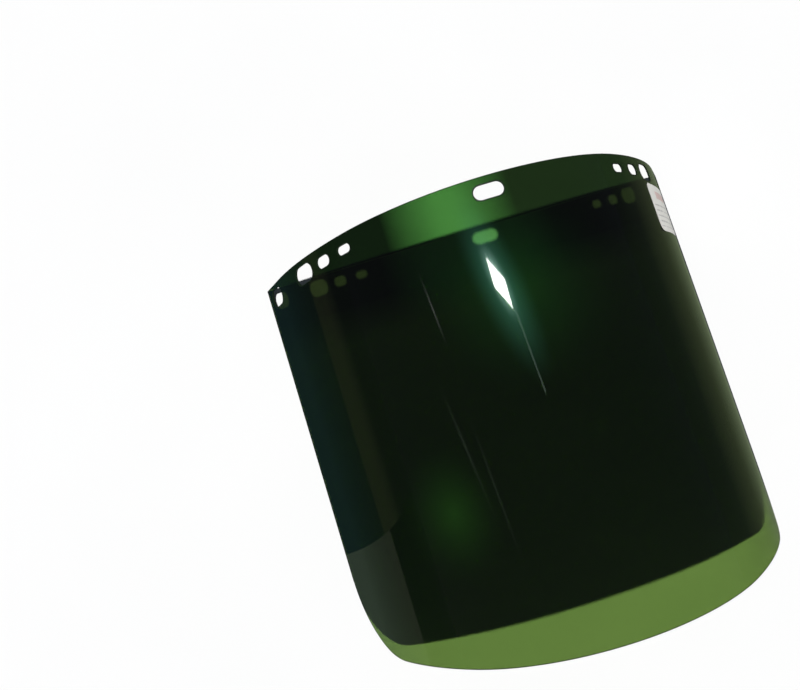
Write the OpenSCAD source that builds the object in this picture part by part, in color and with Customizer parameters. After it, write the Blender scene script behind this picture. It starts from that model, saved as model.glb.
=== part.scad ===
// Window of a face shield: one dark green sheet, curved to go round the face, and its adhesive label.
// The sheet lies as an arch on its two straight side edges, with its hollow side down.
// X runs across the arch, Y along it with the slotted brow edge at +Y and the chin edge at -Y,
// and Z is up. The origin is on the ground, under the middle of the sheet.
// A place on the sheet is given by its arc, the distance from the crown line around the outside.

/* [Sheet] */
// Width of the sheet laid flat, from side edge to side edge
sheet_w = 394; // [390:1:400]
// Length at the crown line, from the brow edge to the chin edge
sheet_l = 254; // [200:1:280]
// Thickness of the sheet
sheet_t = 1; // [0.8:0.1:2]

/* [Curve] */
// Outer radius over the crown
crown_r = 115; // [105:1:120]
// Slope, in degrees, at which the crown runs into the shoulders
crown_a = 45; // [42:1:48]
// Outer radius of the shoulders
shoulder_r = 200; // [170:5:205]
// Slope, in degrees, of the flat legs down to the side edges
leg_a = 68; // [62:1:70]

/* [Chin] */
// How far the chin edge falls back from the crown line to the side edges
chin_lean = 17; // [5:1:30]
// Radius of the two lower corners, seen from the side
corner_r = 50; // [20:1:60]

/* [Slots] */
// Distance from the brow edge to the middle of the slots
slot_inset = 8.7; // [8:0.1:14]
// Length of the middle slot, around the curve
mid_slot_l = 17; // [10:0.5:24]
// Width of the middle slot
mid_slot_w = 8; // [5:0.5:10]
// Arc to the two narrow slots
narrow_arc = 92; // [80:0.5:94]
// Length of the two narrow slots
narrow_l = 10; // [7:0.5:11]
// Width of the two narrow slots
narrow_w = 5; // [4.5:0.5:7]
// Arc to the two short slots
short_arc = 111.5; // [110:0.5:113]
// Length of the two short slots
short_l = 11.5; // [8:0.5:13]
// Width of the two short slots
short_w = 6.5; // [4.5:0.5:8]
// Arc to the two wide slots
wide_arc = 133.5; // [131:0.5:145]
// Length of the two wide slots
wide_l = 19; // [12:0.5:20]
// Width of the two wide slots
wide_w = 10.5; // [6:0.5:11]
// Arc to the two side slots
side_arc = 180.5; // [170:0.5:181]
// Length of the two side slots
side_l = 19; // [12:0.5:20]
// Width of the two side slots
side_w = 10.5; // [6:0.5:11]

/* [Label] */
// Length of the label, around the curve
label_l = 43; // [30:1:44]
// Width of the label, along the sheet
label_w = 31; // [20:1:45]
// Thickness of the label
label_t = 0.2; // [0.1:0.05:0.4]
// Corner radius of the label
label_r = 3; // [1:0.5:6]
// Arc to the middle of the label
label_arc = 148.5; // [130:0.5:150]
// Distance from the brow edge to the label
label_inset = 16; // [15:0.5:30]

/* [Hidden] */
$fn = 240;
margin = 10;
lap = 0.01;
ease = 0.05;
crown_arc = crown_r * crown_a * PI / 180;
shoulder_arc = shoulder_r * (leg_a - crown_a) * PI / 180;
leg_l = sheet_w / 2 - crown_arc - shoulder_arc;
arch_h = crown_r * (1 - cos(crown_a)) + shoulder_r * (cos(crown_a) - cos(leg_a)) + leg_l * sin(leg_a);
crown_mid = [0, arch_h - crown_r];
shoulder_mid = crown_mid - (shoulder_r - crown_r) * [sin(crown_a), cos(crown_a)];
chin_a = atan2(chin_lean, arch_h);
chin_y = -sheet_l / 2 + chin_lean;
corner_y = chin_y - corner_r * tan(chin_a) + corner_r / cos(chin_a);
slot_y = sheet_l / 2 - slot_inset;
label_y = sheet_l / 2 - label_inset - label_w / 2;

// Slope of the sheet at an arc on the +X side, in degrees
function slope(arc) =
    arc < crown_arc ? arc / crown_r * 180 / PI
    : arc < crown_arc + shoulder_arc ? crown_a + (arc - crown_arc) / shoulder_r * 180 / PI
    : leg_a;

// Point [x, z] of the outer face at an arc on the +X side
function outer_point(arc) =
    let (a = slope(arc), away = [sin(a), cos(a)])
    arc < crown_arc ? crown_mid + crown_r * away
    : shoulder_mid + shoulder_r * away
        + max(0, arc - crown_arc - shoulder_arc) * [cos(leg_a), -sin(leg_a)];

// Slot shape with full round ends, its length along X
module slot_shape(length, width) {
    square([length - width, width], center = true);
    for (side = [-1, 1]) {
        translate([side * (length - width) / 2, 0]) circle(d = width);
    }
}

// Rectangle with round corners
module round_rectangle(length, width, radius) {
    square([length - 2 * radius, width], center = true);
    square([length, width - 2 * radius], center = true);
    for (x = [-1, 1], y = [-1, 1]) {
        translate([x * (length / 2 - radius), y * (width / 2 - radius)]) circle(r = radius);
    }
}

// Puts a shape on the outer face at an arc, with its Z axis square to the sheet
module on_sheet(arc, y) {
    at = outer_point(arc);
    translate([at[0], y, at[1]]) rotate([0, slope(arc), 0]) children();
}

// Wedge between two slopes, with its point at the centre of a curve
module wedge(from, to, reach) {
    middle = (from + to) / 2;
    polygon([
        [0, 0],
        reach * [sin(from), cos(from)],
        reach / cos((to - from) / 2) * [sin(middle), cos(middle)],
        reach * [sin(to), cos(to)]
    ]);
}

// Curved strip between two slopes and two radii, lapping a hair into its neighbours
module strip(centre, outer_r, inner_r, from, to) {
    translate(centre) intersection() {
        difference() {
            circle(r = outer_r);
            circle(r = inner_r);
        }
        wedge(from - lap, to + lap, outer_r + margin);
    }
}

module along_sheet() {
    rotate([90, 0, 0]) linear_extrude(height = sheet_l, center = true) children();
}

// Crown between two depths below the outer face
module crown(top, bottom) {
    along_sheet() strip(crown_mid, crown_r - top, crown_r - bottom, -crown_a, crown_a);
}

// Right-hand shoulder between two depths below the outer face
module shoulder(top, bottom) {
    along_sheet() strip(shoulder_mid, shoulder_r - top, shoulder_r - bottom, crown_a, leg_a);
}

// Right-hand leg between two depths below the outer face, reaching below the ground
module leg(top, bottom) {
    along_sheet() translate(outer_point(crown_arc + shoulder_arc)) rotate(-leg_a)
        translate([0, -bottom]) square([leg_l + margin, bottom - top]);
}

// All below the ground
module ground_cut() {
    translate([-sheet_w, -sheet_l, -sheet_w]) cube([2 * sheet_w, 2 * sheet_l, sheet_w]);
}

module across_sheet() {
    rotate([90, 0, 90]) linear_extrude(height = sheet_w, center = true) children();
}

// All beyond the leaning chin edge, seen from the side
module chin_cut() {
    across_sheet() polygon([
        [-sheet_l, -margin],
        [chin_y + margin * tan(chin_a), -margin],
        [-sheet_l / 2 - margin * tan(chin_a), arch_h + margin],
        [-sheet_l, arch_h + margin]
    ]);
}

// All outside the round lower corner at the chin, seen from the side.
// The corner is eased out by a hair, so that it crosses the straight edges instead of just touching them.
module corner_cut() {
    corner = [corner_y, corner_r];
    across_sheet() difference() {
        polygon([
            corner,
            corner - (corner_r + margin) * [cos(chin_a), sin(chin_a)],
            [-sheet_l, -margin],
            [corner_y, -margin]
        ]);
        translate(corner) circle(r = corner_r + ease);
    }
}

module slot_cut(arc, length, width) {
    on_sheet(arc, slot_y)
        linear_extrude(height = margin, center = true) slot_shape(length, width);
}

// The four slots of the right-hand side
module side_slots() {
    slot_cut(narrow_arc, narrow_l, narrow_w);
    slot_cut(short_arc, short_l, short_w);
    slot_cut(wide_arc, wide_l, wide_w);
    slot_cut(side_arc, side_l, side_w);
}

// Cuts the slots and the outline out of one strip of the sheet
module cut_out() {
    difference() {
        children();
        slot_cut(0, mid_slot_l, mid_slot_w);
        side_slots();
        mirror([1, 0, 0]) side_slots();
        ground_cut();
        chin_cut();
        corner_cut();
    }
}

module side_strips() {
    cut_out() shoulder(0, sheet_t);
    cut_out() leg(0, sheet_t);
}

// The tinted sheet
module window() {
    color([0.08, 0.2, 0.08, 0.8]) {
        cut_out() crown(0, sheet_t);
        side_strips();
        mirror([1, 0, 0]) side_strips();
    }
}

// Keeps what lies within the outline of the label
module label_outline() {
    intersection() {
        children();
        on_sheet(label_arc, label_y) linear_extrude(height = 2 * margin, center = true)
            round_rectangle(label_l, label_w, label_r);
    }
}

// The paper label, stuck on the outer face below the right-hand slots
module label() {
    color("white") {
        label_outline() shoulder(-label_t, 0);
        label_outline() leg(-label_t, 0);
    }
}

window();
label();
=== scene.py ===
"""Looks of a face shield window: a dark green plastic sheet, curved to go round the face, and its label.

The frame is the CAD model's, in metres: X across the arch, Y along it with the slotted brow edge at +Y,
and Z up. A place on the sheet is (arc, y, depth): the distance from the crown line around the outer face,
the place along the sheet, and how far below the outer face it lies.
"""

import math

import bpy
import numpy as np
from mathutils import Matrix, Vector


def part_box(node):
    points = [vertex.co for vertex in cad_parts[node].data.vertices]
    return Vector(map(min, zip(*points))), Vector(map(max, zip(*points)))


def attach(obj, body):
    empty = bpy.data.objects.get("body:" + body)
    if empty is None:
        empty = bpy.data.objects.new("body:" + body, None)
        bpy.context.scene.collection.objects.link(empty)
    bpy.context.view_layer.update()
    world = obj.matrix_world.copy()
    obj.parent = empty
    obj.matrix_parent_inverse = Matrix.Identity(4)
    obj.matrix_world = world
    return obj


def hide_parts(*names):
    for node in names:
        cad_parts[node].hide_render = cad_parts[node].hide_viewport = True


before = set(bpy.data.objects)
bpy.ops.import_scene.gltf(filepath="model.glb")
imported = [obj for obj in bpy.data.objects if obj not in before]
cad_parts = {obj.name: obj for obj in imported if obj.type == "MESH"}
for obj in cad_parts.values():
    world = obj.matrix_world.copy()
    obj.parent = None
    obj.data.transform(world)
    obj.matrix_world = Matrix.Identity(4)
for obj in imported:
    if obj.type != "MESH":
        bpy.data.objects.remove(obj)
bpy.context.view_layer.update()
MM = 0.001

# --- The sheet's driving dimensions, as in the CAD model ---
low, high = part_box("window")
BROW_Y = high.y
ARCH_H = high.z
SHEET_W = 394 * MM
SHEET_T = 1 * MM
CROWN_R = 115 * MM
CROWN_A = math.radians(45)
SHOULDER_R = 200 * MM
LEG_A = math.radians(68)
CHIN_LEAN = 17 * MM
CORNER_R = 50 * MM
SLOT_Y = BROW_Y - 8.7 * MM
# In mm: arc to the middle, length around the curve and width of each slot at the crown and on the +X side
SLOTS_MM = ((0, 17, 8), (92, 10, 5), (111.5, 11.5, 6.5), (133.5, 19, 10.5), (180.5, 19, 10.5))
LABEL_L = 43 * MM
LABEL_W = 31 * MM
LABEL_R = 3 * MM
LABEL_ARC = 148.5 * MM
LABEL_Y = BROW_Y - 16 * MM - LABEL_W / 2

# --- Worked out from them ---
CROWN_ARC = CROWN_R * CROWN_A
KNEE_ARC = CROWN_ARC + SHOULDER_R * (LEG_A - CROWN_A)
CROWN_Z = ARCH_H - CROWN_R
SHOULDER_X = -(SHOULDER_R - CROWN_R) * math.sin(CROWN_A)
SHOULDER_Z = CROWN_Z - (SHOULDER_R - CROWN_R) * math.cos(CROWN_A)
CHIN_A = math.atan2(CHIN_LEAN, ARCH_H)
CHIN_Y = low.y + CHIN_LEAN
CORNER_Y = CHIN_Y - CORNER_R * math.tan(CHIN_A) + CORNER_R / math.cos(CHIN_A)
FOOT_ARC = SHEET_W / 2 - SHEET_T / math.tan(LEG_A)  # the square-cut side edge stands on its inner corner

# --- Details that only the looks have ---
EDGE_R = 0.35 * MM               # rounding of the die-cut edges
EDGE_BENDS = (30, 60, 90)        # degrees at which the rounding has a row of points
WAVE = 0.05 * MM                 # the sheet's waves sink it by half of this to two and a half times this
LABEL_GAP = 0.03 * MM            # glue under the label
LABEL_T = 0.15 * MM              # thickness of the paper
# Each corner of the label, as (u, v), and how far it lifts
CURLS_MM = ((-1, -1, 0.45), (1, -1, 0.15), (1, 1, 0.1), (-1, 1, 0.2))
COLUMN = 1.25 * MM               # spacing of the mesh around the curve
ROW = 4 * MM                     # spacing of the mesh along the sheet
CLOSING = 0.04 * MM              # how fast the columns close up towards the side edges
CLOSING_COLUMNS = 16             # how many of them do
SLOT_ZONE = 20 * MM              # depth of the finer rows at the brow edge
SLOT_ROOM = 2.6 * MM             # mesh left round a slot for its own rings
# The second material slot is coloured near black: painted shade on the cut edges and on a thin ring of the
# face round each slot
FACE, CUT_EDGE_PAINTED_SHADE = 0, 1            # material slots of a piece

# --- The room ---
ROOM = 3                         # half the width of the floor
FLOOR_TONE = (0.88, 0.88, 0.87)
CARD_Z = 0.4 * MM                # height of the cards that lie on the floor
GLOW_Z = 0.6 * MM                # height of the glows that lie on them
CARD_REACH = 1.5                 # the side cards run this far in front of the arch and behind it
FOOT_X = high.x + MM / 2         # the side cards start here, just outside the arch
CHIN_CARD_Y = -50 * MM           # the cards on the left change colour here
UNDER_SLOTS_Y = BROW_Y - 50 * MM  # the card below the slots ends here
FAR_TONE = (0.037, 0.04, 0.053)  # the side cards end in this tone, which looks like the dim light beyond
LAMP_FAR = 1.5                   # distance of the mirrored lamps from the top of the arch
GLOW_FAR = 1.6                   # distance of the mirrored glows from it


# --- The curved surface ---
def waves(arc, y):
    """How far the sheet's long, shallow waves sink it below its true curve.

    They run along the sheet and a little across it, and die out at the side edges.
    """
    a, b = arc / MM, y / MM
    fade = 1 - np.clip(np.abs(arc) / FOOT_ARC, 0, 1) ** 6
    roll = 1.5 + np.sin(a / 17 + b / 190 + 0.6) * 0.5 + np.sin(a / 9.1 - b / 140 + 2.1) * 0.22
    return WAVE * fade * (roll + 0.25 * np.sin(b / 31 + a / 60))


def bare_place(arc, y, depth):
    """Points [x, y, z] of the sheet, from arrays of places on it."""
    side, a = np.where(arc < 0, -1.0, 1.0), np.abs(arc)
    on_crown = a < CROWN_ARC
    slope = np.where(on_crown, a / CROWN_R, np.minimum(CROWN_A + (a - CROWN_ARC) / SHOULDER_R, LEG_A))
    radius = np.where(on_crown, CROWN_R, SHOULDER_R)
    leg = np.maximum(a - KNEE_ARC, 0)
    x = np.where(on_crown, 0, SHOULDER_X) + radius * np.sin(slope) + leg * math.cos(LEG_A)
    z = np.where(on_crown, CROWN_Z, SHOULDER_Z) + radius * np.cos(slope) - leg * math.sin(LEG_A)
    sunk = depth + waves(arc, y)
    return np.stack([side * (x - sunk * np.sin(slope)), y, z - sunk * np.cos(slope)], axis=-1)


def axes_at(arc, y, depth):
    """The directions around the curve, along the sheet and out of it, at places on the sheet."""
    step = 0.02 * MM
    around = bare_place(arc + step, y, depth) - bare_place(arc - step, y, depth)
    along = bare_place(arc, y + step, depth) - bare_place(arc, y - step, depth)
    around /= np.linalg.norm(around, axis=-1, keepdims=True)
    along /= np.linalg.norm(along, axis=-1, keepdims=True)
    return around, along, np.cross(around, along)


def chin_y(arc):
    """The chin edge: a straight lean in side view, with a round lower corner."""
    z = bare_place(np.abs(arc), 0 * arc, 0 * arc)[..., 2]
    z = z - z.min()
    in_corner = z < CORNER_R * (1 - math.sin(CHIN_A))
    curve = CORNER_Y - np.sqrt(np.maximum(CORNER_R**2 - (CORNER_R - z) ** 2, 0))
    return np.where(in_corner, curve, CHIN_Y - z * math.tan(CHIN_A))


class Shell:
    """A thin curved body in the making.

    It holds places on the sheet, their normals (around, along, out), and faces with their material slots.
    """

    def __init__(self):
        self.places, self.normals, self.faces, self.kinds = [], [], [], []

    def add(self, arc, y, depth, normal):
        """Adds a point and returns its number."""
        self.places.append((arc, y, depth))
        self.normals.append(normal)
        return len(self.places) - 1

    def quad(self, a, b, c, d, kind=FACE):
        self.faces.append((a, b, c, d))
        self.kinds.append(kind)

    def band(self, ring, next_ring, kind):
        """Joins two closed rings of equal length."""
        for i in range(len(ring)):
            j = (i + 1) % len(ring)
            self.quad(ring[i], ring[j], next_ring[j], next_ring[i], kind)

    def edge(self, top_ring, bottom_ring, outward):
        """The sheet's rounded edge, from a ring on its outer face to the same ring on its inner face."""
        ring = top_ring
        bends = [math.radians(bend) for bend in EDGE_BENDS]
        profile = [(math.sin(a), EDGE_R * (1 - math.cos(a)), math.cos(a)) for a in bends]
        steps = profile + [(out, SHEET_T - depth, -up) for out, depth, up in reversed(profile)]
        for out, depth, up in steps:
            new = []
            for corner, (away_arc, away_y) in zip(top_ring, outward):
                arc, y, _ = self.places[corner]
                new.append(self.add(arc + away_arc * out * EDGE_R, y + away_y * out * EDGE_R, depth,
                                    (away_arc * out, away_y * out, up)))
            self.band(ring, new, CUT_EDGE_PAINTED_SHADE)
            ring = new
        self.band(ring, bottom_ring, CUT_EDGE_PAINTED_SHADE)

    def build(self, name):
        """The finished mesh object, smooth shaded with the true normals of the curve."""
        arc, y, depth = np.array(self.places).T
        around, along, out = axes_at(arc, y, depth)
        local = np.array(self.normals, float)
        local /= np.linalg.norm(local, axis=1, keepdims=True)
        normals = local[:, :1] * around + local[:, 1:2] * along + local[:, 2:] * out
        mesh = bpy.data.meshes.new(name)
        mesh.from_pydata(bare_place(arc, y, depth).tolist(), [], self.faces)
        mesh.polygons.foreach_set("material_index", self.kinds)
        mesh.shade_smooth()
        mesh.update()
        mesh.normals_split_custom_set_from_vertices(normals.tolist())
        flat = mesh.uv_layers.new(name="flat")
        corners = np.zeros(len(mesh.loops), np.int32)
        mesh.loops.foreach_get("vertex_index", corners)
        flat.data.foreach_set("uv", np.stack([arc, y], axis=1)[corners].ravel())
        piece = bpy.data.objects.new(name, mesh)
        bpy.context.scene.collection.objects.link(piece)
        return piece


def mitres(points):
    """Outward offsets for a closed ring of [arc, y] points that runs anticlockwise."""
    points = np.array(points)
    ahead = np.roll(points, -1, axis=0) - points
    ahead /= np.linalg.norm(ahead, axis=1, keepdims=True)
    right = np.stack([ahead[:, 1], -ahead[:, 0]], axis=1)
    both = right + np.roll(right, 1, axis=0)
    return both * 2 / np.sum(both * both, axis=1, keepdims=True)


# --- The sheet ---
def columns():
    """Arcs of the mesh's columns, drawn closer together at the side edges, where the corners turn."""
    reach = FOOT_ARC - EDGE_R
    closing = [CLOSING * k * k for k in range(CLOSING_COLUMNS)]
    middle = reach - closing[-1]
    count = 2 * round(middle / COLUMN)
    half = np.array([middle - c + closing[-1] for c in closing[:-1]])
    return np.concatenate([-half, np.linspace(-middle, middle, count + 1), half[::-1]])


def sheet_grid():
    """Places [column][row] of the flat pattern, from the chin edge to the brow edge."""
    arcs = columns()
    edge = np.stack([arcs, chin_y(arcs)], axis=1)
    run = np.gradient(edge, axis=0)
    run /= np.linalg.norm(run, axis=1, keepdims=True)
    inside = np.stack([-run[:, 1], run[:, 0]], axis=1)
    edge = edge + inside * EDGE_R
    edge[0, 0], edge[-1, 0] = arcs[0], arcs[-1]
    zone_y = BROW_Y - SLOT_ZONE
    long_rows = np.linspace(0, 1, round((zone_y - low.y) / ROW), endpoint=False)
    fine_rows = np.linspace(zone_y, BROW_Y - EDGE_R, round(SLOT_ZONE / COLUMN) + 1)
    grid = []
    for (arc, y), full_arc in zip(edge, arcs):
        column = [(arc + (full_arc - arc) * t, y + (zone_y - y) * t) for t in long_rows]
        grid.append(column + [(full_arc, fine_y) for fine_y in fine_rows])
    return np.array(grid)


def slot_patch(grid, centre, length, width):
    """Column and row range of the mesh given up to a slot."""
    def nearest(lines, value):
        return int(np.argmin(np.abs(lines - value)))

    arcs, ys = grid[:, -1, 0], grid[0, :, 1]
    reach, rise = length / 2 + SLOT_ROOM, width / 2 + SLOT_ROOM
    return (nearest(arcs, centre - reach), nearest(arcs, centre + reach),
            nearest(ys, SLOT_Y - rise), min(nearest(ys, SLOT_Y + rise), len(ys) - 2))


def border(first, last, bottom, top):
    """Mesh indices round a patch, anticlockwise."""
    return ([(i, bottom) for i in range(first, last)] + [(last, j) for j in range(bottom, top)]
            + [(i, top) for i in range(last, first, -1)] + [(first, j) for j in range(top, bottom, -1)])


def slot_rays(grid, around, centre, length, width):
    """For each point round a slot's patch: the rim point nearest to it, and the way out from the slot."""
    rays = []
    for key in around:
        off = grid[key] - (centre, SLOT_Y)
        spine = np.array([np.clip(off[0], -(length - width) / 2, (length - width) / 2), 0])
        away = off - spine
        away = away / np.linalg.norm(away)
        rays.append((spine + (centre, SLOT_Y) + away * (width / 2 + EDGE_R), away))
    return rays


def slot_rim(shell, grid, ids, around, rays, depth, up):
    """Rings of faces from a slot's patch down to its rim. The last ring, a thin band of the face next to
    the rim, takes the dark cut-edge material as a painted shade line round the slot.
    """
    ring = [ids[key] for key in around]
    for share, kind in ((0.5, FACE), (0.12, FACE), (0, CUT_EDGE_PAINTED_SHADE)):
        new = [shell.add(*(rim + (grid[key] - rim) * share), depth, (0, 0, up))
               for (rim, _), key in zip(rays, around)]
        if up > 0:
            shell.band(ring, new, kind)
        else:
            shell.band(new, ring, kind)
        ring = new
    return ring


def make_window():
    """The die-cut sheet: its two faces, the slots through it, and rounded edges all round."""
    shell = Shell()
    grid = sheet_grid()
    n_columns, n_rows = grid.shape[:2]
    slots = []
    for slot in SLOTS_MM:
        arc, length, width = (size * MM for size in slot)
        slots += [(side * arc, length, width) for side in ((1, -1) if arc else (1,))]
    patches = [slot_patch(grid, *slot) for slot in slots]
    borders = [border(*patch) for patch in patches]
    rays = [slot_rays(grid, around, *slot) for around, slot in zip(borders, slots)]
    taken = {(i, j) for first, last, bottom, top in patches
             for i in range(first, last) for j in range(bottom, top)}
    inner = {(i, j) for first, last, bottom, top in patches
             for i in range(first + 1, last) for j in range(bottom + 1, top)}
    layers = []
    for depth, up in ((0, 1), (SHEET_T, -1)):
        ids = {(i, j): shell.add(*grid[i, j], depth, (0, 0, up))
               for i in range(n_columns) for j in range(n_rows) if (i, j) not in inner}
        for i in range(n_columns - 1):
            for j in range(n_rows - 1):
                if (i, j) not in taken:
                    ring = [ids[i, j], ids[i + 1, j], ids[i + 1, j + 1], ids[i, j + 1]]
                    shell.quad(*(ring if up > 0 else ring[::-1]))
        rims = [slot_rim(shell, grid, ids, *slot, depth, up) for slot in zip(borders, rays)]
        layers.append((ids, rims))
    (top_ids, top_rims), (bottom_ids, bottom_rims) = layers
    outline = border(0, n_columns - 1, 0, n_rows - 1)
    outward = mitres([grid[key] for key in outline])[::-1]
    outline = outline[::-1]
    shell.edge([top_ids[key] for key in outline], [bottom_ids[key] for key in outline], outward)
    for top_rim, bottom_rim, ways_out in zip(top_rims, bottom_rims, rays):
        shell.edge(top_rim, bottom_rim, [-away for _, away in ways_out])
    return shell.build("tinted_window")


# --- The label ---
def corner_lift(u, v):
    """The paper's corners stand a little proud of the sheet, one more than the rest."""
    lift = 0
    for corner_u, corner_v, height in CURLS_MM:
        near = max(0, 1 - math.hypot((u - corner_u) * 3.2, (v - corner_v) * 2.6))
        lift += height * MM * near * near
    return lift


def make_label():
    """The sticker: a sheet of paper with round corners that stand a little proud."""
    shell = Shell()
    across, down = 60, 48  # faces of the mesh
    us = np.linspace(-1, 1, across + 1)
    vs = [math.sin(math.pi / 2 * t) for t in np.linspace(-1, 1, down + 1)]
    rings = []
    for depth, up in ((-LABEL_GAP - LABEL_T, 1), (-LABEL_GAP, -1)):
        ids = {}
        for j, v in enumerate(vs):
            past = max(0, abs(v) * LABEL_W / 2 - (LABEL_W / 2 - LABEL_R))
            half = LABEL_L / 2 - LABEL_R + math.sqrt(max(LABEL_R**2 - past**2, 0))
            for i, u in enumerate(us):
                place = (LABEL_ARC + half * u, LABEL_Y + LABEL_W / 2 * v)
                ids[i, j] = shell.add(*place, depth - corner_lift(u, v), (0, 0, up))
        for i in range(across):
            for j in range(down):
                ring = [ids[i, j], ids[i + 1, j], ids[i + 1, j + 1], ids[i, j + 1]]
                shell.quad(*(ring if up > 0 else ring[::-1]))
        rings.append([ids[key] for key in border(0, across, 0, down)][::-1])
    shell.band(rings[0], rings[1], FACE)
    return shell.build("paper_label")


# --- Materials ---
class Nodes:
    """A small helper that adds nodes to a new material and links them."""

    def __init__(self, name):
        self.material = bpy.data.materials.new(name)
        self.material.use_nodes = True
        self.tree = self.material.node_tree
        self.tree.nodes.clear()

    def add(self, kind, **inputs):
        """Adds a node. An underscore in an input's name stands for a space."""
        node = self.tree.nodes.new("ShaderNode" + kind)
        for key, value in inputs.items():
            self.feed(node.inputs[key.replace("_", " ")], value)
        return node

    def feed(self, socket, value):
        if isinstance(value, bpy.types.NodeSocket):
            self.tree.links.new(value, socket)
        else:
            socket.default_value = value

    def math(self, operation, *values):
        node = self.tree.nodes.new("ShaderNodeMath")
        node.operation = operation
        for socket, value in zip(node.inputs, values):
            self.feed(socket, value)
        return node.outputs[0]

    def flat(self):
        """The place on the sheet laid flat: the arc and the distance along the sheet."""
        node = self.add("UVMap")
        node.uv_map = "flat"
        return node.outputs[0]

    def place(self):
        """The place in the room."""
        return self.add("NewGeometry").outputs["Position"]

    def axes(self, vector):
        return self.add("SeparateXYZ", Vector=vector).outputs

    def noise(self, vector, scale, detail, roughness=0.5):
        node = self.add("TexNoise", Vector=vector, Scale=scale, Detail=detail, Roughness=roughness)
        return node.outputs[0]

    def scaled(self, coordinates, x, y):
        node = self.add("Mapping", Vector=coordinates)
        node.inputs["Scale"].default_value = (x, y, 1)
        return node.outputs[0]

    def span(self, value, low, high, to_low, to_high):
        node = self.add("MapRange", Value=value)
        for key, limit in (("From Min", low), ("From Max", high), ("To Min", to_low), ("To Max", to_high)):
            node.inputs[key].default_value = limit
        return node.outputs[0]

    def mix(self, factor, a, b):
        node = self.tree.nodes.new("ShaderNodeMix")
        node.data_type = "RGBA"
        self.feed(node.inputs[0], factor)
        self.feed(node.inputs[6], a)
        self.feed(node.inputs[7], b)
        return node.outputs[2]

    def output(self, shader):
        self.add("OutputMaterial", Surface=shader)
        return self.material


PLASTIC_IOR = 1.58
LAMP_THROUGH = (0.05, 0.07, 0.06, 1)  # share of the lamps' light that each face of the sheet lets through


def sheet_material():
    """Glossy tinted plastic with hairline scratches and faint smears."""
    n = Nodes("tinted_plastic")
    flat = n.flat()
    smear = n.noise(n.scaled(flat, 9, 22), 1.0, 4.0, 0.55)
    scratch = n.span(n.noise(n.scaled(flat, 2600, 35), 1.0, 2.0), 0.70, 0.78, 0, 1)
    gloss = n.math("ADD", n.span(smear, 0.35, 0.75, 0.015, 0.05), n.math("MULTIPLY", scratch, 0.05))
    tint = n.mix(n.span(smear, 0.3, 0.7, 0, 1), (0.123, 0.219, 0.044, 1), (0.137, 0.235, 0.050, 1))
    bump = n.add("Bump", Height=n.math("MULTIPLY", scratch, -1.0), Strength=0.05, Distance=0.00002)
    plastic = n.add("BsdfPrincipled", Base_Color=tint, Roughness=gloss, Normal=bump.outputs[0])
    plastic.inputs["Transmission Weight"].default_value = 1.0
    plastic.inputs["IOR"].default_value = PLASTIC_IOR
    clear = n.add("BsdfTransparent", Color=LAMP_THROUGH)
    both = n.add("MixShader")
    n.feed(both.inputs[0], n.add("LightPath").outputs["Is Shadow Ray"])
    n.feed(both.inputs[1], plastic.outputs[0])
    n.feed(both.inputs[2], clear.outputs[0])
    return n.output(both.outputs[0])


def edge_material():
    """The die-cut edge: the same plastic, dulled by the cutter's fine lines across it, and coloured near
    black as painted shade of the edge walls.
    """
    n = Nodes("cut_edge_painted_shade")
    lines = n.noise(n.place(), 2200.0, 3.0)
    bump = n.add("Bump", Height=lines, Strength=0.4, Distance=0.00005)
    # Near black, far darker than the tinted plastic: painted shade on the edges and round the slots
    plastic = n.add("BsdfPrincipled", Base_Color=(0.01, 0.022, 0.007, 1),
                    Roughness=n.span(lines, 0.3, 0.7, 0.22, 0.42), Normal=bump.outputs[0])
    plastic.inputs["Transmission Weight"].default_value = 0.2
    plastic.inputs["IOR"].default_value = PLASTIC_IOR
    return n.output(plastic.outputs[0])


def paper_material():
    """White label paper: fine fibres, a pale pink panel and rows of grey bars in place of print."""
    n = Nodes("label_paper")
    flat = n.flat()
    axes = n.axes(flat)
    u = n.math("DIVIDE", n.math("SUBTRACT", axes[0], LABEL_ARC), LABEL_L)
    v = n.math("DIVIDE", n.math("SUBTRACT", axes[1], LABEL_Y), LABEL_W)

    def between(value, start, end):
        return n.math("MULTIPLY", n.math("GREATER_THAN", value, start), n.math("LESS_THAN", value, end))

    panel = n.math("MULTIPLY", between(u, -0.2, 0.42), between(v, 0.2, 0.36))
    rows = n.math("MODULO", n.math("MULTIPLY", n.math("ADD", v, 1.0), 9.0), 1.0)
    gaps = n.noise(n.scaled(flat, 900, 200), 1.0, 0.0)
    bars = n.math("MULTIPLY", between(rows, 0.3, 0.62), n.math("GREATER_THAN", gaps, 0.42))
    bars = n.math("MULTIPLY", bars, n.math("MULTIPLY", between(u, -0.42, 0.40), between(v, -0.4, 0.14)))
    fibre = n.noise(flat, 1800.0, 4.0)
    paper = n.mix(n.span(fibre, 0.3, 0.7, 0, 1), (0.9, 0.88, 0.82, 1), (0.98, 0.97, 0.91, 1))
    paper = n.mix(n.math("MULTIPLY", panel, 0.55), paper, (0.72, 0.38, 0.36, 1))
    paper = n.mix(n.math("MULTIPLY", bars, 0.45), paper, (0.3, 0.3, 0.3, 1))
    bump = n.add("Bump", Height=fibre, Strength=0.35, Distance=0.00003)
    sheet = n.add("BsdfPrincipled", Base_Color=paper, Roughness=n.span(fibre, 0.3, 0.7, 0.5, 0.7),
                  Normal=bump.outputs[0])
    return n.output(sheet.outputs[0])


def floor_material():
    """A matt, pale floor with hardly visible cloudiness."""
    n = Nodes("floor")
    cloud = n.span(n.noise(n.place(), 6.0, 3.0), 0.3, 0.7, 0, 1)
    tone = n.mix(cloud, (*(share * 0.985 for share in FLOOR_TONE), 1), (*FLOOR_TONE, 1))
    return n.output(n.add("BsdfDiffuse", Color=tone).outputs[0])


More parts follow.
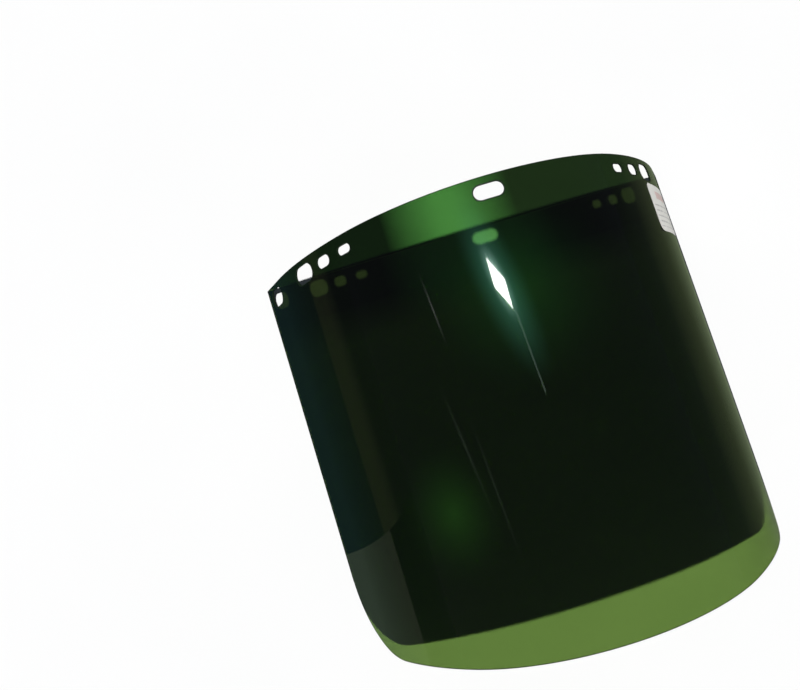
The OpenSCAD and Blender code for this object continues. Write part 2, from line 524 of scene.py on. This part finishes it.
# --- Stage, lights and camera ---
# The sheet looks like what it mirrors and what shows through it. So besides the floor there are cards,
# lamps and glows that only reflections show, and others that only show through the sheet.
def flat_card(name, x_low, x_high, y_low, y_high, z, material):
    """A level rectangle that belongs to the stage."""
    mesh = bpy.data.meshes.new(name)
    mesh.from_pydata([(x_low, y_low, z), (x_high, y_low, z), (x_high, y_high, z), (x_low, y_high, z)],
                     [], [(0, 1, 2, 3)])
    mesh.materials.append(material)
    card = bpy.data.objects.new(name, mesh)
    bpy.context.scene.collection.objects.link(card)
    return card


def side_card(name, x_near, x_far, near, far, y_low=-CARD_REACH, y_high=CARD_REACH):
    """A card on the floor beside the arch that only the sheet shows, mirrored in its steep sides.

    Its colour runs from one at its side nearest to the arch to another at its far side.
    """
    n = Nodes(name)
    shade = n.mix(n.span(n.axes(n.place())[0], x_near, x_far, 0, 1), (*near, 1), (*far, 1))
    card = flat_card(name, min(x_near, x_far), max(x_near, x_far), y_low, y_high, CARD_Z,
                     n.output(n.add("BsdfDiffuse", Color=shade).outputs[0]))
    card.visible_camera = card.visible_diffuse = card.visible_shadow = False


def card_seen_through(name, x_low, x_high, y_low, y_high, material):
    """A card on the floor that only shows through the sheet."""
    card = flat_card(name, x_low, x_high, y_low, y_high, CARD_Z, material)
    card.visible_camera = card.visible_diffuse = card.visible_glossy = card.visible_shadow = False


def behind_material():
    """Dark things behind the brow edge, lighter in the middle."""
    n = Nodes("behind_brow")
    x = n.axes(n.place())[0]
    dark = n.mix(n.span(x, -30 * MM, 30 * MM, 0, 1), (0.02, 0.04, 0.03, 1), (0.07, 0.10, 0.11, 1))
    off_middle = n.math("ABSOLUTE", n.math("ADD", x, 6 * MM))
    shade = n.mix(n.span(off_middle, 6 * MM, 45 * MM, 0, 1), (0.42, 0.9, 0.8, 1), dark)
    return n.output(n.add("BsdfDiffuse", Color=shade).outputs[0])


def under_slots_material():
    """Dulls the spots of light below the side slots, cools the middle one, and fades into the floor."""
    n = Nodes("under_slots")
    place = n.axes(n.place())
    towards_middle = n.span(n.math("ABSOLUTE", place[0]), 30 * MM, 60 * MM, 1, 0)
    towards_chin = n.span(place[1], UNDER_SLOTS_Y, BROW_Y - 25 * MM, 1, 0)
    shade = n.mix(towards_middle, (0.1, 0.1, 0.1, 1), (0.5, 0.95, 1, 1))
    shade = n.mix(towards_chin, shade, (*FLOOR_TONE, 1))
    return n.output(n.add("BsdfDiffuse", Color=shade).outputs[0])


def key_lamp(towards, energy, width):
    """The light of the scene: parallel and narrow, for a crisp shadow. Reflections don't show it."""
    data = bpy.data.lights.new("key", "SUN")
    data.energy, data.angle = energy, width
    lamp = bpy.data.objects.new("key", data)
    lamp.visible_glossy = lamp.visible_transmission = False
    lamp.rotation_mode = "QUATERNION"
    lamp.rotation_quaternion = Vector(towards).to_track_quat("Z", "Y")
    bpy.context.scene.collection.objects.link(lamp)


def stretch(thing, start, end, distance):
    """Puts a lamp or card between two directions from the arch's top, facing it, at a distance.

    Its local X axis runs from the first direction to the second. Returns the length between them.
    """
    top = Vector((0, 0, ARCH_H))
    first, last = (top + Vector(way).normalized() * distance for way in (start, end))
    middle = (first + last) / 2
    along, away = (last - first).normalized(), (middle - top).normalized()
    thing.matrix_world = Matrix((along, away.cross(along), away)).transposed().to_4x4()
    thing.location = middle
    bpy.context.scene.collection.objects.link(thing)
    return (last - first).length


def mirrored_lamp(name, start, end, width, colour, brightness):
    """A rectangular lamp that diffuse surfaces don't show. Its brightness doesn't depend on its size."""
    data = bpy.data.lights.new(name, "AREA")
    lamp = bpy.data.objects.new(name, data)
    data.shape = "RECTANGLE"
    data.size = stretch(lamp, start, end, LAMP_FAR)
    data.size_y = width
    data.color = colour
    data.energy = math.pi * data.size * data.size_y * brightness
    lamp.visible_diffuse = False


def glow_card(name, colour, brightness):
    """A card, 2 m square before it is scaled, that glows in the middle and fades to nothing at its rim."""
    n = Nodes(name)
    at = n.axes(n.add("TexCoord").outputs["Object"])
    squares = [n.math("MULTIPLY", part, part) for part in (at[0], at[1])]
    reach = n.math("SQRT", n.math("ADD", *squares))
    fade = n.math("POWER", n.span(reach, 0, 1, 1, 0), 2)
    glow = n.add("Emission", Color=(*colour, 1), Strength=n.math("MULTIPLY", fade, brightness))
    both = n.add("AddShader")
    n.feed(both.inputs[0], glow.outputs[0])
    n.feed(both.inputs[1], n.add("BsdfTransparent").outputs[0])
    mesh = bpy.data.meshes.new(name)
    mesh.from_pydata([(-1, -1, 0), (1, -1, 0), (1, 1, 0), (-1, 1, 0)], [], [(0, 1, 2, 3)])
    mesh.materials.append(n.output(both.outputs[0]))
    card = bpy.data.objects.new(name, mesh)
    card.visible_camera = card.visible_diffuse = card.visible_shadow = False
    return card


def mirrored_glow(name, start, end, width, colour, brightness):
    """A glow in the room that shows as a soft streak on the curved sheet."""
    card = glow_card(name, colour, brightness)
    card.visible_transmission = False
    length = stretch(card, start, end, GLOW_FAR)
    card.scale = (length / 2, width / 2, 1)


def glow_below(name, x, y, size, colour, brightness):
    """A painted pool of light: a glowing card on the floor under the arch that shows only through the
    sheet.
    """
    card = glow_card(name, colour, brightness)
    card.visible_glossy = False
    card.location = (x, y, GLOW_Z)
    card.scale = (size[0] / 2, size[1] / 2, 1)
    bpy.context.scene.collection.objects.link(card)


def make_room():
    """Dim light from all round, with a wall behind the floor as pale as the floor."""
    world = bpy.data.worlds.new("studio")
    world.use_nodes = True
    nodes, links = world.node_tree.nodes, world.node_tree.links
    dim = nodes["Background"]
    dim.inputs["Color"].default_value = (0.82, 0.88, 1.15, 1)
    dim.inputs["Strength"].default_value = 0.052
    wall, both, path = (nodes.new("ShaderNode" + kind) for kind in ("Background", "MixShader", "LightPath"))
    wall.inputs["Color"].default_value = (0.97, 0.97, 0.965, 1)
    links.new(path.outputs["Is Camera Ray"], both.inputs[0])
    links.new(dim.outputs[0], both.inputs[1])
    links.new(wall.outputs[0], both.inputs[2])
    links.new(both.outputs[0], nodes["World Output"].inputs["Surface"])
    bpy.context.scene.world = world


def make_camera():
    """The photograph's view: from above, a little to the left, turned so the arch leans to the right."""
    look = Vector((0.0598, 0.1217, -0.9908)).normalized()
    right = look.cross(Vector((0.2912, 0.9473, 0.1340))).normalized()
    up = right.cross(look)
    data = bpy.data.cameras.new("camera")
    data.sensor_width = 36
    data.lens = 43.73
    data.clip_start, data.clip_end = 0.01, 20
    camera = bpy.data.objects.new("camera", data)
    camera.matrix_world = Matrix((right, up, -look)).transposed().to_4x4()
    camera.location = (-0.10034, -0.00910, 0.62696)
    bpy.context.scene.collection.objects.link(camera)
    bpy.context.scene.camera = camera


make_camera()

window = make_window()
window.data.materials.append(sheet_material())
window.data.materials.append(edge_material())
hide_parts("window")
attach(window, "root")

label = make_label()
label.data.materials.append(paper_material())
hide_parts("label")
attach(label, "root")

floor = flat_card("floor", -ROOM, ROOM, -ROOM, ROOM, 0, floor_material())
floor.visible_glossy = False
side_card("beside_left", -FOOT_X, -0.24, (0.02, 0.045, 0.05), (0.03, 0.05, 0.045), y_low=CHIN_CARD_Y)
side_card("strip_left", -0.24, -0.34, (0.065, 0.08, 0.055), (0.075, 0.085, 0.06), y_low=CHIN_CARD_Y)
side_card("fading_left", -0.34, -0.5, (0.07, 0.08, 0.06), (0.03, 0.035, 0.04), y_low=CHIN_CARD_Y)
side_card("far_left", -0.5, -ROOM, (0.03, 0.035, 0.04), FAR_TONE, y_low=CHIN_CARD_Y)
side_card("beside_left_chin", -FOOT_X, -0.28, (0.1, 0.135, 0.11), (0.11, 0.115, 0.1), y_high=CHIN_CARD_Y)
side_card("far_left_chin", -0.28, -ROOM, (0.02, 0.028, 0.03), FAR_TONE, y_high=CHIN_CARD_Y)
side_card("beside_right", FOOT_X, 0.185, (0.15, 0.185, 0.11), (0.078, 0.095, 0.055))
side_card("further_right", 0.185, 0.3, (0.078, 0.095, 0.055), (0.032, 0.04, 0.035))
side_card("far_right", 0.3, ROOM, (0.032, 0.04, 0.035), FAR_TONE)
card_seen_through("behind_brow", -0.5, 0.5, BROW_Y + 0.2 * MM, 1.0, behind_material())
card_seen_through("under_slots", low.x, high.x, UNDER_SLOTS_Y, BROW_Y, under_slots_material())

key_lamp((-0.104, -0.018, 1), 3.45, math.radians(1.2))
mirrored_lamp("window_light", (-0.055, 0.217, 1), (0.06, 0.181, 1), 0.064, (1, 1, 1), 30)
mirrored_glow("window_rim", (-0.13, 0.24, 1), (0.13, 0.16, 1), 0.17, (0.6, 1, 0.92), 9)
mirrored_glow("window_halo", (-0.35, 0.28, 1), (0.35, 0.12, 1), 0.42, (0.25, 1, 0.7), 2)
mirrored_lamp("window_streak", (0.073, 0.156, 1), (0.103, 0.036, 1), 0.025, (0.8, 1, 0.95), 0.7)
mirrored_glow("strip_high", (-1.03, 0.36, 1), (-0.9, 0.17, 1), 0.05, (1, 1, 1), 1.0)
mirrored_glow("strip_low", (-1.5, 0.22, 1), (-1.0, -0.18, 1), 0.07, (0.8, 1, 0.8), 0.24)
mirrored_glow("strip_side", (-0.95, 0.11, 1), (-0.77, -0.27, 1), 0.07, (0.8, 1, 0.8), 0.2)
# Painted pools of light on the shadowed floor under the arch, seen only through the sheet
glow_below("painted_glow_high", 22 * MM, 80 * MM, (0.15, 0.15), (0.2, 1, 0.7), 0.10)
glow_below("painted_glow_low", -62 * MM, -46 * MM, (0.07, 0.10), (0.35, 1, 0.4), 0.125)

make_room()
bpy.context.scene.view_settings.view_transform = "Standard"
